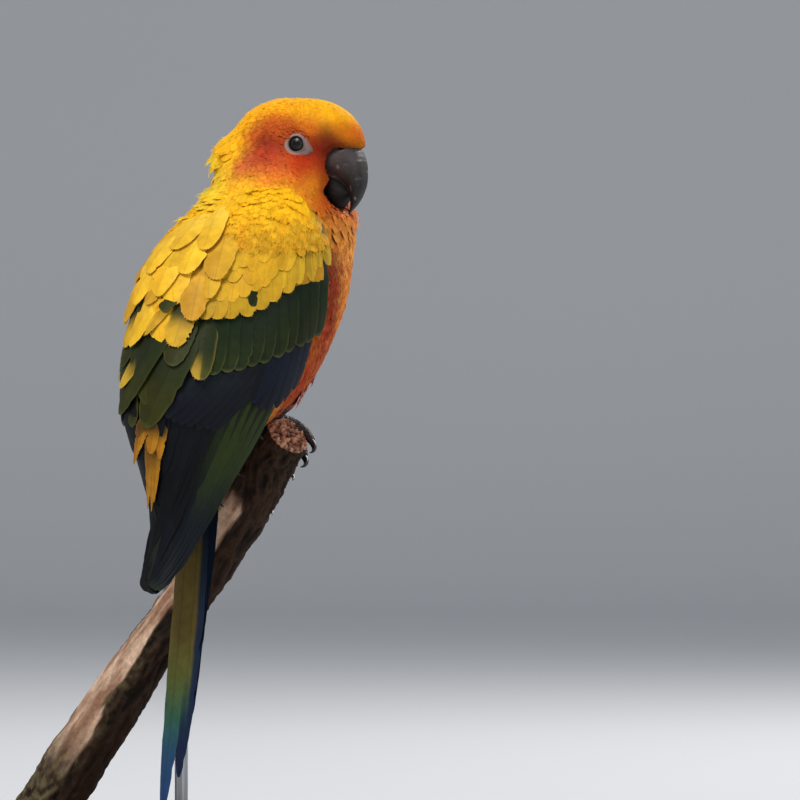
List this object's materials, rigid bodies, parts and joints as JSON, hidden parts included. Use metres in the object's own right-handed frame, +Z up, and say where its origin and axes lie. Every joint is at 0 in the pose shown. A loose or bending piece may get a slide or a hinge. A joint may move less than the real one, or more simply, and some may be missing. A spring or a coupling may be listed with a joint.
{
  "type": "sun conure on a branch",
  "caption": "Life-size sun conure, still, gripping the chewed end of a cut branch with its back to the viewer and its head turned, on a plain flat stand.",
  "frame": {"origin": "centre of the underside of the stand's base", "axes": "+X is the way the bill points and the right of the picture, +Y is away from the picture's camera, +Z is up"},
  "size_m": [0.16, 0.126, 0.2809],
  "materials": {
    "coat_yellow": "soft small feathers, yellow to gold",
    "coat_orange": "soft small feathers, orange to red",
    "tail_green": "smooth long feathers, olive to blue",
    "bill_horn": "worn dark grey horn",
    "eye_dark": "wet and glossy",
    "foot_skin": "scaly dark skin with glossy black claws",
    "branch_bark": "rough dark bark with a bare pale strip and a chewed end",
    "stand_wood": "dark satin board",
    "stand_steel": "plain brushed rod"
  },
  "bodies": {
    "root": {"stand_base": "stand_wood", "stand_rod_high": "stand_steel", "stand_rod_low": "stand_steel", "perch": "branch_bark", "torso": "coat_yellow", "neck": "coat_yellow", "head": "coat_orange", "bill_upper": "bill_horn", "bill_lower": "bill_horn", "eye_right": "eye_dark", "eye_left": "eye_dark", "wing_right": "coat_yellow", "wing_left": "coat_yellow", "tail": "tail_green", "leg_right": "coat_orange", "leg_left": "coat_orange", "foot_right": "foot_skin", "foot_left": "foot_skin"}
  },
  "joints": []
}
